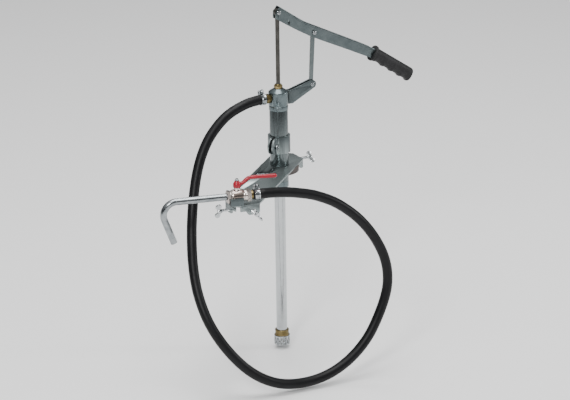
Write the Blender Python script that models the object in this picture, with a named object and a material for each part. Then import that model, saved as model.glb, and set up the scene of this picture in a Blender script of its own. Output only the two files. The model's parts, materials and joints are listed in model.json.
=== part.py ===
"""Hand-lever fluid transfer pump on a diagonal clamp plate, with hose, ball valve and spout.

Metres, +Z up. The origin is the centre of the clamp plate's underside. The plate runs along the
diagonal from (-X, -Y) to (+X, +Y) and hooks over two opposite corners of a square drum.
"""
from math import asin, cos, hypot, pi, radians, sin

import bmesh
import bpy
from mathutils import Matrix, Vector
from mathutils.geometry import interpolate_bezier

# ---------------------------------------------------------------- driving dimensions
GAP = 0.0003                 # gap that touching pieces keep
DRUM_HALF = 0.1190           # half width of the square drum that the plate clamps on
PUMP_XY = 0.0670             # pump axis: x and y from the plate's centre

PLATE_THICK = 0.0030
PLATE_HALF_WIDTH = 0.0350
FLANGE_OUT = 0.1252          # outer face of the bent-down flanges
FLANGE_THICK = 0.0030

BARREL_R = 0.0185
BARREL_BORE = 0.0155
BARREL_TOP = 0.1280
BARREL_FOOT = -0.0300
SUCTION_R = 0.0110
SUCTION_BORE = 0.0095
SUCTION_FOOT = -0.3580
ROD_R = 0.00425

COLLAR_LOW = 0.0310
COLLAR_HIGH = 0.0660
COLLAR_R = 0.0226
SOCKET_R = 0.0222
SOCKET_GAP = 0.0012          # visible joint between socket tube and collar
CLAMP_YAW = radians(36.5)    # the ears point to -X, turned by this about the pump axis
EAR_R = 0.0166
EAR_THICK = 0.0030
EAR_CENTRE = 0.0246          # centre of the ears' round outline, from the pump axis
EAR_BOLT_OUT = 0.0265        # clamp bolt's distance from the pump axis
SLIT = 0.0060

PORT_Z = 0.1440              # outlet port's height
ROD_PIN_Z = 0.3180           # rod eye, piston at the top of its stroke
LINK_PIN = (0.0789, -0.0512)     # link's upper pin from the rod eye, out and up
FULCRUM = (0.0735, 0.1607)       # fulcrum pin, out from the pump axis and up

HOSE_R = 0.0100
VALVE = (-0.1171, -0.1110, 0.0200)   # centre of the valve's ball
NOZZLE_YAW = radians(-13.0)
SPOUT_R = 0.0066
SPOUT_END_R = 0.00575        # turned-down end inside the valve's end cap
SPOUT_WALL = 0.0012

WING_OFFSET = {"near": 0.0925, "far": 0.1040}    # wing screws' distance from the mid planes
WING_Z = {"near": -0.0115, "far": -0.0060}
WING_REACH = {"near": 0.0240, "far": 0.0330}     # centre of the lobes, out from the flange
WING_TURN = {"near_left": -14, "near_right": -57, "far_right": -54, "far_left": 20}
WING_HOLE = 0.0033
BUNG_RECESS_R = 0.0410       # shallow recess under the plate that takes the bung's top
BUNG_RECESS = 0.0006

LEVER_HALF = 0.0080          # half the lever channel's width
LEVER_WALL = 0.0020
GRIP_START = (0.2152, -0.1133)
GRIP_SLOPE = radians(-33.5)
GRIP_LENGTH = 0.1060
GROOVE = 0.0237              # pitch of the grip's finger grooves

STEEL = ((0.45, 0.49, 0.49), 0.32, 0.9)
DARK_STEEL = ((0.36, 0.38, 0.38), 0.36, 0.9)
BRIGHT = ((0.75, 0.76, 0.77), 0.18, 1.0)
CASTING = ((0.42, 0.48, 0.49), 0.34, 0.85)
BRASS = ((0.72, 0.55, 0.28), 0.28, 1.0)
NICKEL = ((0.70, 0.64, 0.61), 0.25, 1.0)
RUBBER = ((0.02, 0.02, 0.022), 0.55, 0.0)
NITRILE = ((0.05, 0.05, 0.055), 0.6, 0.0)
PTFE = ((0.85, 0.85, 0.82), 0.5, 0.0)
GRIP = ((0.035, 0.035, 0.037), 0.6, 0.0)
RED = ((0.60, 0.03, 0.06), 0.35, 0.0)
BUNG = ((0.16, 0.13, 0.12), 0.7, 0.0)


# ---------------------------------------------------------------- frames
def at(x, y, z):
    return Matrix.Translation((x, y, z))


def turn(angle, axis):
    return Matrix.Rotation(angle, 4, axis)


WORLD = Matrix.Identity(4)
PUMP = at(PUMP_XY, PUMP_XY, 0)
DIAGONAL = turn(radians(45), 'Z')
NOZZLE = at(*VALVE) @ turn(NOZZLE_YAW, 'Z')
ALONG_X = turn(radians(90), 'Y')       # turns a shape's +Z to +X
ALONG_Y = turn(radians(-90), 'X')      # turns a shape's +Z to +Y


# ---------------------------------------------------------------- building blocks
def clear_scene():
    for obj in list(bpy.data.objects):
        bpy.data.objects.remove(obj)


def place(name, bm, frame, finish, smooth=35):
    """Make an object from bm, whose own origin is at frame."""
    bmesh.ops.recalc_face_normals(bm, faces=bm.faces)
    mesh = bpy.data.meshes.new(name)
    bm.to_mesh(mesh)
    bm.free()
    mesh.shade_smooth()
    mesh.set_sharp_from_angle(angle=radians(smooth))
    obj = bpy.data.objects.new(name, mesh)
    obj.matrix_world = frame
    bpy.context.collection.objects.link(obj)
    dress(obj, finish)
    return obj


def dress(obj, finish):
    if finish is None:
        obj.hide_render = True
        obj.display_type = 'WIRE'
        return
    colour, roughness, metallic = finish
    material = bpy.data.materials.new(obj.name)
    material.use_nodes = True
    shader = material.node_tree.nodes["Principled BSDF"]
    shader.inputs["Base Color"].default_value = (*colour, 1)
    shader.inputs["Roughness"].default_value = roughness
    shader.inputs["Metallic"].default_value = metallic
    obj.data.materials.append(material)


def circle(radius, sides, z=0.0, start=0.0):
    return [Vector((radius * cos(start + 2 * pi * i / sides),
                    radius * sin(start + 2 * pi * i / sides), z)) for i in range(sides)]


def skin(bm, rings, closed=False):
    """Join rings of equal count with quads; an open stack gets flat end caps."""
    rows = [[bm.verts.new(p) for p in ring] for ring in rings]
    count = len(rows[0])
    pairs = list(zip(rows, rows[1:] + rows[:1] if closed else rows[1:]))
    for low, high in pairs:
        for i in range(count):
            j = (i + 1) % count
            bm.faces.new((low[i], low[j], high[j], high[i]))
    if not closed:
        bm.faces.new(list(reversed(rows[0])))
        bm.faces.new(rows[-1])


def turned(name, profile, finish, frame=WORLD, sides=24, start=0.0):
    """Turn (radius, height) points about Z. A first radius of 0 makes a solid, else a ring."""
    bm = bmesh.new()
    if profile[0][0] > 0:
        skin(bm, [circle(r, sides, z, start) for r, z in profile], closed=True)
        return place(name, bm, frame, finish)
    skin(bm, [circle(r, sides, z, start) for r, z in profile if r > 0])
    return place(name, bm, frame, finish)


def rod(name, radius, low, high, finish, frame=WORLD, sides=16, start=0.0):
    return turned(name, [(0, low), (radius, low), (radius, high), (0, high)], finish, frame,
                  sides, start)


def prism(name, outline, low, high, finish, frame=WORLD, smooth=35):
    """Extrude an outline of (x, y) points from z = low to z = high."""
    bm = bmesh.new()
    skin(bm, [[Vector((x, y, z)) for x, y in outline] for z in (low, high)])
    return place(name, bm, frame, finish, smooth)


def block(name, low, high, finish, frame=WORLD):
    outline = [(low[0], low[1]), (high[0], low[1]), (high[0], high[1]), (low[0], high[1])]
    return prism(name, outline, low[2], high[2], finish, frame)


def combine(target, tool, operation):
    tool.hide_render = True
    tool.display_type = 'WIRE'
    modifier = target.modifiers.new(tool.name, 'BOOLEAN')
    modifier.operation = operation
    modifier.object = tool
    modifier.solver = 'EXACT'


def cut(target, *tools):
    for tool in tools:
        combine(target, tool, 'DIFFERENCE')


def join(target, *tools):
    for tool in tools:
        combine(target, tool, 'UNION')


def hexagon(across_flats):
    return [(p.x, p.y) for p in circle(across_flats / (2 * cos(pi / 6)), 6, start=pi / 6)]


def nut(name, across_flats, low, high, bore, finish, frame):
    body = prism(name, hexagon(across_flats), low, high, finish, frame)
    cut(body, rod(f"{name}_bore", bore, low - 0.001, high + 0.001, None, frame))
    return body


def hex_screw(name, radius, low, high, across_flats, head, finish, frame):
    """A screw along Z with its hexagon head above z = high."""
    body = rod(name, radius, low, high + 0.5 * head, finish, frame, sides=12)
    join(body, prism(f"{name}_head", hexagon(across_flats), high, high + head, None, frame))
    return body


def arc(centre, radius, first, last, steps):
    """Points on an arc in degrees, both ends included."""
    return [(centre[0] + radius * cos(radians(first + (last - first) * i / steps)),
             centre[1] + radius * sin(radians(first + (last - first) * i / steps)))
            for i in range(steps + 1)]


def pipe_rings(path, radii, sides, flat_normal):
    """Rings along a path that stays in the plane with normal flat_normal."""
    rings = []
    for i, (point, radius) in enumerate(zip(path, radii)):
        before = path[max(i - 1, 0)]
        after = path[min(i + 1, len(path) - 1)]
        tangent = (after - before).normalized()
        side = flat_normal.cross(tangent).normalized()
        rings.append([point + radius * (cos(2 * pi * k / sides) * side
                                        + sin(2 * pi * k / sides) * flat_normal)
                      for k in range(sides)])
    return rings


# ---------------------------------------------------------------- clamp plate
def drum_corner(outline, name):
    """One flange: (along, z) outline on the face x = -FLANGE_OUT, along running down -y."""
    upright = Matrix(((0, 0, 1, -FLANGE_OUT), (1, 0, 0, 0), (0, 1, 0, 0), (0, 0, 0, 1)))
    return prism(name, outline, 0, FLANGE_THICK, None, upright)


def clamp_plate():
    """Diagonal plate with pointed ends and four bent-down flanges with screw holes."""
    tip = FLANGE_OUT * 2 ** 0.5
    shoulder = tip - PLATE_HALF_WIDTH
    nip = 0.006
    outline = [(-tip + nip, -nip), (-shoulder, -PLATE_HALF_WIDTH), (shoulder, -PLATE_HALF_WIDTH),
               (tip - nip, -nip), (tip - nip, nip), (shoulder, PLATE_HALF_WIDTH),
               (-shoulder, PLATE_HALF_WIDTH), (-tip + nip, nip)]
    plate = prism("clamp_plate", outline, 0, PLATE_THICK, STEEL, DIAGONAL)
    end = -FLANGE_OUT + 2 ** 0.5 * PLATE_HALF_WIDTH
    corner = -FLANGE_OUT + 2 ** 0.5 * nip
    flange = [(corner, 0.0015), (corner, -0.009), (end - 0.030, -0.010), (end - 0.024, -0.018),
              (end - 0.003, -0.018), (end, -0.015), (end, 0.0015)]
    mirror_xy = Matrix(((0, 1, 0, 0), (1, 0, 0, 0), (0, 0, 1, 0), (0, 0, 0, 1)))
    for label, half_turn in (("near", WORLD), ("far", turn(pi, 'Z'))):
        for side, swap in (("left", WORLD), ("right", mirror_xy)):
            piece = drum_corner(flange, f"flange_{label}_{side}")
            piece.data.transform(half_turn @ swap @ piece.matrix_world)
            if swap is mirror_xy:
                piece.data.flip_normals()
            piece.matrix_world = WORLD
            join(plate, piece)
    cut(plate, rod("plate_hole", BARREL_R + GAP, -0.002, 0.005, None, PUMP, sides=32),
        rod("bung_recess", BUNG_RECESS_R, -0.005, BUNG_RECESS, None, PUMP, sides=48))
    for name, frame in wing_frames():
        cut(plate, rod(f"{name}_hole", WING_HOLE, -0.010, 0.002, None, frame, sides=12))


def wing_frames():
    """Frames of the four wing screws: +Z points out of the drum, origin on the flange's face."""
    near, far = WING_OFFSET["near"], WING_OFFSET["far"]
    near_z, far_z = WING_Z["near"], WING_Z["far"]
    return [("near_left", at(-FLANGE_OUT, -near, near_z) @ turn(-pi / 2, 'Y')),
            ("near_right", at(-near, -FLANGE_OUT, near_z) @ turn(pi / 2, 'X')),
            ("far_right", at(FLANGE_OUT, far, far_z) @ turn(pi / 2, 'Y')),
            ("far_left", at(far, FLANGE_OUT, far_z) @ turn(-pi / 2, 'X'))]


def wing_screws():
    """Four wing screws, each with a pressure tip that bears on the drum's wall."""
    tip_in = FLANGE_OUT - DRUM_HALF - GAP
    tip_r, tip_length, shank = 0.0024, 0.0022, 0.0030
    for name, frame in wing_frames():
        reach = WING_REACH[name.split("_")[0]]
        foot, crown = reach - 0.0072, reach + 0.0012
        rod(f"pressure_tip_{name}", tip_r, -tip_in, -tip_in + tip_length, BRIGHT, frame, sides=12)
        frame = frame @ turn(radians(WING_TURN[name]), 'Z')
        low = -tip_in + tip_length + GAP
        screw = turned(f"wing_screw_{name}",
                       [(0, low), (shank, low), (shank, foot), (0.0048, foot + 0.0005),
                        (0.0043, crown), (0, crown)], BRIGHT, frame, 12)
        lobe = [(0.0030, foot + 0.0008)] + arc((0.0092, reach), 0.0052, -110, 125, 8)
        lobe += [(0.0030, crown - 0.0005)]
        for side, half in (("a", WORLD), ("b", turn(pi, 'Z'))):
            stand = half @ turn(pi / 2, 'X')
            join(screw, prism(f"wing_{name}_{side}", lobe, -0.0013, 0.0013, None, frame @ stand))


# ---------------------------------------------------------------- socket and collar
def slit_cutter(name, low, high):
    """Cutter for the vertical slit between the ears, and below them in the socket tube."""
    return block(name, (-0.0300, -SLIT / 2, low), (-0.0100, SLIT / 2, high), None,
                 PUMP @ turn(CLAMP_YAW, 'Z'))


def socket_and_collar():
    """Slit socket tube welded on the plate, and the clamp collar with two ears above it."""
    inner = BARREL_R + GAP
    foot, top = PLATE_THICK + GAP, COLLAR_LOW - SOCKET_GAP
    socket = turned("socket_tube", [(SOCKET_R, top), (SOCKET_R, foot + 0.003),
                                    (SOCKET_R + 0.0022, foot), (inner, foot), (inner, top)],
                    STEEL, PUMP, 32)
    cut(socket, slit_cutter("socket_slit", foot + 0.004, top + 0.002))
    collar = turned("clamp_collar", [(COLLAR_R, COLLAR_HIGH), (COLLAR_R, COLLAR_LOW),
                                     (inner, COLLAR_LOW), (inner, COLLAR_HIGH)],
                    STEEL, PUMP, 32)
    cut(collar, slit_cutter("collar_slit", COLLAR_LOW - 0.002, COLLAR_HIGH + 0.002))
    clamp = PUMP @ turn(CLAMP_YAW, 'Z')
    mid = (COLLAR_LOW + COLLAR_HIGH) / 2
    root = -0.0202
    ear = [(root, mid + EAR_R), (root, mid - EAR_R)]
    ear += list(reversed(arc((-EAR_CENTRE, mid), EAR_R, 90, 270, 14)))
    upright = clamp @ turn(pi / 2, 'X')
    near = SLIT / 2 - GAP
    far = near + EAR_THICK
    join(collar, prism("ear_left", ear, -far, -near, None, upright),
         prism("ear_right", ear, near, far, None, upright))
    bolt_line = clamp @ at(-EAR_BOLT_OUT, 0, mid - 0.0010) @ turn(-pi / 2, 'X')
    face = far + GAP
    bolt_r, bolt_hole = 0.0024, 0.0027
    cut(collar, rod("ear_hole", bolt_hole, -face - 0.0020, face + 0.0020, None, bolt_line))
    bolt = rod("collar_bolt", bolt_r, -face - 0.0010, face + 0.0060, BRIGHT, bolt_line, 16)
    join(bolt, prism("bolt_head", hexagon(0.0080), -face - 0.0036, -face, None, bolt_line))
    nut("collar_nut", 0.0080, face, face + 0.0040, bolt_hole, BRIGHT, bolt_line)


# ---------------------------------------------------------------- pump barrel, head and suction
def barrel_and_head():
    """Barrel tube, head casting with its side port, gland seal and gland nut."""
    neck, sleeve = 0.0169, 0.1180
    turned("pump_barrel", [(BARREL_R, sleeve - GAP), (BARREL_R, BARREL_FOOT),
                           (BARREL_BORE, BARREL_FOOT), (BARREL_BORE, BARREL_TOP),
                           (neck, BARREL_TOP), (neck, sleeve - GAP)], STEEL, PUMP, 32)
    head = turned("pump_head", [(0.0085, 0.1622), (0.0106, 0.1618), (0.0190, 0.1562),
                                (0.0200, 0.1540), (0.0200, 0.1296), (0.0184, 0.1288),
                                (0.0184, 0.1274), (0.0193, 0.1266), (0.0193, sleeve),
                                (0.0172, sleeve), (0.0172, 0.1283), (BARREL_BORE, 0.1283),
                                (BARREL_BORE, 0.1480), (0.0048, 0.1500), (0.0048, 0.1545),
                                (0.0068, 0.1545), (0.0068, 0.1622)], CASTING, PUMP, 32)
    port = PUMP @ at(0, 0, PORT_Z) @ turn(-pi / 2, 'Y')
    cut(head, rod("port_bore", 0.0085, 0.010, 0.025, None, port))
    turned("gland_seal", [(0.0065, 0.1618), (0.0065, 0.1548), (0.0046, 0.1548),
                          (0.0046, 0.1618)], NITRILE, PUMP, 20)
    gland = turned("gland_nut", [(0.0086, 0.1690), (0.0086, 0.1625), (0.0047, 0.1625),
                                 (0.0047, 0.1712), (0.0064, 0.1712)], BRASS, PUMP, 24)
    faces = prism("gland_faces", hexagon(0.0150), 0.1600, 0.1690, None, PUMP)
    crown = turned("gland_crown", [(0, 0.1689), (0.0075, 0.1689), (0.0062, 0.1730), (0, 0.1730)],
                   None, PUMP, 24)
    join(faces, crown)
    combine(gland, faces, 'INTERSECT')
    fitting = turned("outlet_fitting", [(0.0082, 0.0290), (0.0082, 0.0165), (0.0055, 0.0165),
                                        (0.0055, 0.0290)], BRASS, port, 20)
    join(fitting, nut("outlet_hex", 0.0170, 0.0203, 0.0288, 0.0070, None, port))


def suction_line():
    """Bung, reducer, suction tube and foot valve with its ball and strainer."""
    top = BUNG_RECESS - GAP
    turned("neck_bung", [(0.0385, top), (0.0395, top - 0.0012), (0.0385, -0.0100),
                         (BARREL_R + GAP, -0.0100), (BARREL_R + GAP, top)], BUNG, PUMP, 32)
    low = BARREL_FOOT - GAP
    turned("barrel_reducer", [(BARREL_R, low), (BARREL_R, low - 0.012), (0.0140, low - 0.015),
                              (0.0140, low - 0.032), (SUCTION_R + GAP, low - 0.032),
                              (SUCTION_R + GAP, low - 0.016), (0.0080, low - 0.016),
                              (0.0080, low + 0.010), (BARREL_BORE - GAP, low + 0.010),
                              (BARREL_BORE - GAP, low)], CASTING, PUMP, 24)
    turned("suction_tube", [(SUCTION_R, low - 0.0163), (SUCTION_R, SUCTION_FOOT),
                            (SUCTION_BORE, SUCTION_FOOT), (SUCTION_BORE, low - 0.0163)],
           BRIGHT, PUMP, 24)
    seat = SUCTION_FOOT - 0.0165
    turned("foot_valve_body", [(0.0145, -0.3520), (0.0145, -0.3780), (0.0050, -0.3780),
                               (0.0050, seat), (0.0090, seat + 0.0045),
                               (0.0090, SUCTION_FOOT - GAP), (SUCTION_R + GAP, SUCTION_FOOT - GAP),
                               (SUCTION_R + GAP, -0.3520)], BRASS, PUMP, 20)
    ball = 0.0062
    rise = ((ball + GAP) ** 2 - 0.0050 ** 2) ** 0.5
    sphere("foot_valve_ball", ball, PUMP @ at(0, 0, seat + rise + 0.0001), BRIGHT)
    turned("foot_strainer", [(0.0161, -0.3640), (0.0161, -0.3838), (0.0040, -0.3838),
                             (0.0040, -0.3828), (0.0149, -0.3828), (0.0149, -0.3640)],
           BRIGHT, PUMP, 20)


def sphere(name, radius, frame, finish):
    bm = bmesh.new()
    bmesh.ops.create_uvsphere(bm, u_segments=16, v_segments=10, radius=radius)
    return place(name, bm, frame, finish, smooth=80)


# ---------------------------------------------------------------- piston and rod
def piston_group():
    """Rod with its eye, piston with through holes, cup seal, disc valve and piston nut."""
    low, shoulder = 0.0950, 0.1130
    shaft = rod("piston_rod", ROD_R, shoulder, ROD_PIN_Z - 0.003, DARK_STEEL, PUMP, 16)
    join(shaft, rod("rod_spigot", 0.0030, low, shoulder + 0.001, None, PUMP, 12))
    eye_line = PUMP @ at(0, 0, ROD_PIN_Z) @ ALONG_Y
    join(shaft, rod("rod_eye", 0.0068, -0.0042, 0.0042, None, eye_line, 20))
    cut(shaft, rod("rod_eye_hole", 0.0033, -0.010, 0.010, None, eye_line, 16))
    body = turned("piston", [(0.0151, 0.1120), (0.0151, 0.1075), (0.0120, 0.1070),
                             (0.0120, 0.1010), (0.0033, 0.1010), (0.0033, 0.1120)],
                  BRASS, PUMP, 28)
    for i in range(4):
        spot = PUMP @ turn((i + 0.3) * pi / 2, 'Z') @ at(0.0078, 0, 0)
        cut(body, rod(f"piston_port_{i}", 0.0020, 0.099, 0.114, None, spot, 12))
    turned("piston_cup", [(0.0152, 0.1066), (0.0152, 0.0990), (0.0142, 0.0990),
                          (0.0138, 0.1040), (0.0123, 0.1040), (0.0123, 0.1066)],
           NITRILE, PUMP, 28)
    turned("piston_disc_valve", [(0.0112, 0.1127), (0.0112, 0.1123), (0.0046, 0.1123),
                                 (0.0046, 0.1140), (0.0112, 0.1135)], BRIGHT,
           PUMP, 24)
    nut("piston_nut", 0.0100, 0.0957, 0.1007, 0.0033, BRIGHT, PUMP)


# ---------------------------------------------------------------- lever linkage
def lever_frame():
    """Origin on the rod pin, x out along +X, y up, z towards -Y."""
    return PUMP @ at(0, 0, ROD_PIN_Z) @ turn(pi / 2, 'X')


def lever_channel():
    """Pressed U-section lever, open below and at its rod end, with a tang inside the grip."""
    frame = lever_frame()
    top = [(0.0030, 0.0113), (0.0580, -0.0262), (0.1000, -0.0462), (0.1900, -0.0893),
           (0.2120, -0.1005), (0.2790, -0.1447)]
    tang_low = [(0.2725, -0.1547), (0.2050, -0.1125)]
    bottom = [(0.1960, -0.1160), (0.1600, -0.0990), (0.0836, -0.0641), (0.0456, -0.0441),
              (0.0023, -0.0172), (-0.0065, -0.0120), (-0.0060, 0.0020)]
    channel = prism("lever_channel", top + tang_low + bottom, -LEVER_HALF, LEVER_HALF, STEEL,
                    frame)
    hollow = [(-0.0300, 0.0295), (0.0022, 0.0091), (0.0571, -0.0286), (0.0991, -0.0484),
              (0.1891, -0.0915), (0.1891, -0.1400), (0.0700, -0.1200), (-0.0300, -0.0600)]
    inside = LEVER_HALF - LEVER_WALL
    spare = prism("lever_hollow", hollow, -inside, inside, None, frame)
    cut(channel, spare)
    for name, spot, radius in (("rod_pin_hole", (0, 0), 0.0033),
                               ("link_pin_hole", LINK_PIN, 0.0036),
                               ("spare_hole", (0.0227, -0.0235), 0.0026)):
        cut(channel, rod(name, radius, -0.012, 0.012, None, frame @ at(*spot, 0), 16))


def grip_section(along, low, high, half_width, sides=20):
    """A rounded cross-section of the grip, square to its axis at the distance along."""
    mid, tall = (low + high) / 2, (high - low) / 2
    ring = []
    for i in range(sides):
        a = 2 * pi * i / sides
        c, s = cos(a), sin(a)
        ring.append(Vector((along, mid + tall * (abs(s) ** 0.8) * (1 if s > 0 else -1),
                            half_width * (abs(c) ** 0.8) * (1 if c > 0 else -1))))
    return ring


def lever_grip():
    """Moulded grip: a flange, a body with four finger grooves below and a blunt end."""
    flange, body, rounding = 0.0040, 0.0050, 0.0060
    rings = [grip_section(0, -0.0165, 0.0165, 0.0150), grip_section(flange, -0.0165, 0.0165, 0.0150)]
    steps = 20
    for i in range(steps + 1):
        along = body + (GRIP_LENGTH - rounding - body) * i / steps
        ripple = 0.0024 * abs(sin(pi * (along - 0.0088) / GROOVE))
        taper = 0.0125 * along
        rings.append(grip_section(along, ripple - 0.0144 - taper, 0.0135 - 0.3 * taper, 0.0126))
    rings.append(grip_section(GRIP_LENGTH - 0.0020, -0.0158, 0.0098, 0.0118))
    rings.append(grip_section(GRIP_LENGTH, -0.0142, 0.0076, 0.0098))
    bm = bmesh.new()
    skin(bm, rings)
    frame = lever_frame()
    grip = place("lever_grip", bm, frame @ at(*GRIP_START, 0) @ turn(GRIP_SLOPE, 'Z'), GRIP, 50)
    pocket = [(0.1950, -0.0898), (0.2122, -0.0998), (0.2797, -0.1443), (0.2724, -0.1553),
              (0.2040, -0.1130), (0.1950, -0.1162)]
    pocket_half = LEVER_HALF + 0.0004
    cut(grip, prism("grip_pocket", pocket, -pocket_half, pocket_half, None, frame))


def pin(name, shaft, half, head, frame):
    """Rivet pin along Z with two low domed heads beyond half, a head's gap outside."""
    inner = half + GAP
    turned(name, [(0, -inner - 0.0016), (head * 0.6, -inner - 0.0016), (head, -inner),
                  (shaft, -inner), (shaft, inner), (head, inner),
                  (head * 0.6, inner + 0.0016), (0, inner + 0.0016)], BRIGHT, frame, 16)


def linkage():
    """Lever with its pins, the link with its slotted head, and the fulcrum arm on the head."""
    frame = lever_frame()
    lever_channel()
    lever_grip()
    pin("rod_pin", 0.0030, LEVER_HALF, 0.0042, frame)
    pin("link_pin", 0.0032, LEVER_HALF, 0.0042, frame @ at(*LINK_PIN, 0))
    fulcrum = PUMP @ at(FULCRUM[0], 0, FULCRUM[1]) @ turn(pi / 2, 'X')
    pin("fulcrum_pin", 0.0030, 0.0062, 0.0042, fulcrum)
    rise = ROD_PIN_Z + LINK_PIN[1] - FULCRUM[1]
    run = LINK_PIN[0] - FULCRUM[0]
    length, lean = hypot(rise, run), asin(run / hypot(rise, run))
    link_frame = fulcrum @ turn(-lean, 'Z')
    half, slot = 0.0044, 0.0064
    strap = arc((0, 0), 0.0058, 230, 310, 4) + [(half, length - 0.004), (-half, length - 0.004)]
    link = prism("lever_link", strap, -0.0020, 0.0020, DARK_STEEL, link_frame)
    head = arc((slot, length), 0.0073, -90, 90, 8) + arc((-slot, length), 0.0073, 90, 270, 8)
    window = arc((slot, length), 0.0051, -90, 90, 8) + arc((-slot, length), 0.0051, 90, 270, 8)
    join(link, prism("link_head", head, -0.0020, 0.0020, None, link_frame),
         rod("link_foot", 0.0060, -0.0020, 0.0020, None, link_frame, 20))
    cut(link, prism("link_window", window, -0.004, 0.004, None, link_frame),
        rod("link_foot_hole", 0.0033, -0.004, 0.004, None, link_frame, 16))
    fulcrum_arm()


def fulcrum_arm():
    """U-bracket on the pump head: a web against the casting and two tapering cheeks."""
    frame = PUMP @ turn(pi / 2, 'X')
    out, up = FULCRUM
    tip = arc((out, up), 0.0088, -52, 112, 10)
    side = [(0.0203, 0.1280), (0.0290, 0.1275)] + tip + [(0.0262, 0.1560), (0.0203, 0.1555)]
    arm = prism("fulcrum_arm", side, -0.0062, 0.0062, STEEL, frame)
    cut(arm, block("arm_gap", (0.0235, 0.1100, -0.0035), (0.1000, 0.1900, 0.0035), None, frame),
        rod("arm_hole", 0.0033, -0.010, 0.010, None, frame @ at(out, up, 0), 16))


# ---------------------------------------------------------------- ball valve, handle and spout
def ball_valve():
    """Two-piece ball valve along local X with seats, ball, stem, gland and lever handle."""
    line = NOZZLE @ ALONG_X
    body = turned("valve_body", [(0.0115, 0.0190), (0.0108, 0.0150), (0.0128, 0.0120),
                                 (0.0134, 0.0000), (0.0128, -0.0100), (0.0110, -0.0130),
                                 (0.0100, -0.0130), (0.0100, 0.0102), (0.0065, 0.0102),
                                 (0.0065, 0.0190)], NICKEL, line, 24)
    join(body, prism("valve_hex", hexagon(0.0225), 0.0185, 0.0262, None, line),
         rod("valve_neck", 0.0062, 0.0100, 0.0170, None, NOZZLE, 16))
    cut(body, rod("valve_way", 0.0065, 0.0050, 0.0300, None, line, 16),
        rod("valve_stem_bore", 0.0035, 0.0050, 0.0200, None, NOZZLE, 12))
    cap = turned("valve_end_cap", [(0.0110, -0.0133), (0.0110, -0.0150), (0.0065, -0.0150),
                                   (0.0065, -0.0102), (0.0097, -0.0102), (0.0097, -0.0133)],
                 NICKEL, line, 24)
    join(cap, nut("valve_cap_hex", 0.0225, -0.0205, -0.0145, 0.0065, None, line))
    for name, flip in (("valve_seat_outlet", WORLD), ("valve_seat_inlet", turn(pi, 'Z'))):
        turned(name, [(0.0095, -0.0066), (0.0095, -0.0099), (0.0058, -0.0099),
                      (0.0058, -0.0076), (0.0072, -0.0058)], PTFE, NOZZLE @ flip @ ALONG_X, 20)
    ball = sphere("valve_ball", 0.0088, NOZZLE, BRIGHT)
    cut(ball, rod("ball_way", 0.0050, -0.012, 0.012, None, line, 16),
        block("ball_groove", (-0.0100, -0.0013, 0.0066), (0.0100, 0.0013, 0.0100), None, NOZZLE))
    stem = rod("valve_stem", 0.0031, 0.0092, 0.0345, BRIGHT, NOZZLE, 12)
    join(stem, block("stem_key", (-0.0022, -0.0010, 0.0069), (0.0022, 0.0010, 0.0100), None,
                     NOZZLE))
    turned("stem_gland", [(0.0056, 0.0205), (0.0056, 0.0173), (0.0035, 0.0173),
                          (0.0035, 0.0205)], NICKEL, NOZZLE, 16)
    valve_handle()
    nut("handle_nut", 0.0070, 0.0303, 0.0332, 0.0034, BRIGHT, NOZZLE)
    fitting = turned("valve_hose_tail", [(0.0085, 0.0308), (0.0085, 0.0265), (0.0062, 0.0265),
                                         (0.0062, 0.0215), (0.0045, 0.0215), (0.0045, 0.0308)],
                     BRASS, line, 20)
    fitting.data.shade_smooth()


def valve_handle():
    """Sleeved handle: a hub over the stem, a rise and a straight arm in line with the flow."""
    hub = turned("valve_handle", [(0, 0.0208), (0.0062, 0.0208), (0.0074, 0.0228),
                                  (0.0068, 0.0268), (0.0046, 0.0300), (0, 0.0300)], RED, NOZZLE, 16)
    spine = [Vector((0.0030, 0, 0.0246)), Vector((0.0090, 0, 0.0250)), Vector((0.0130, 0, 0.0268)),
             Vector((0.0190, 0, 0.0322)), Vector((0.0230, 0, 0.0345)), Vector((0.0280, 0, 0.0350)),
             Vector((0.0760, 0, 0.0338)), Vector((0.0790, 0, 0.0337))]
    sizes = [0.0034, 0.0036, 0.0036, 0.0036, 0.0038, 0.0039, 0.0041, 0.0030]
    bm = bmesh.new()
    skin(bm, pipe_rings(spine, sizes, 12, Vector((0, 1, 0))))
    arm = place("handle_arm", bm, NOZZLE, None, 50)
    join(hub, arm)
    cut(hub, rod("handle_bore", 0.0034, 0.0200, 0.0320, None, NOZZLE, 12))


def spout():
    """Bent outlet tube screwed into the valve's end cap."""
    bend, start, step = 0.0260, -0.1185, -0.0212
    path = [Vector((-0.0156, 0, 0)), Vector((step, 0, 0)), Vector((step - 0.0008, 0, 0)),
            Vector((start, 0, 0))]
    path += [Vector((start + x, 0, z)) for x, z in arc((0, -bend), bend, 101, 200, 9)]
    path.append(path[-1] + Vector((0.0173, 0, -0.0476)))
    radii = [SPOUT_END_R, SPOUT_END_R] + [SPOUT_R] * (len(path) - 2)
    across = Vector((0, 1, 0))
    rings = pipe_rings(path, radii, 20, across)
    inner = pipe_rings(path, [radius - SPOUT_WALL for radius in radii], 20, across)
    bm = bmesh.new()
    skin(bm, rings + list(reversed(inner)), closed=True)
    place("spout", bm, NOZZLE, BRIGHT, 50)


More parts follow.
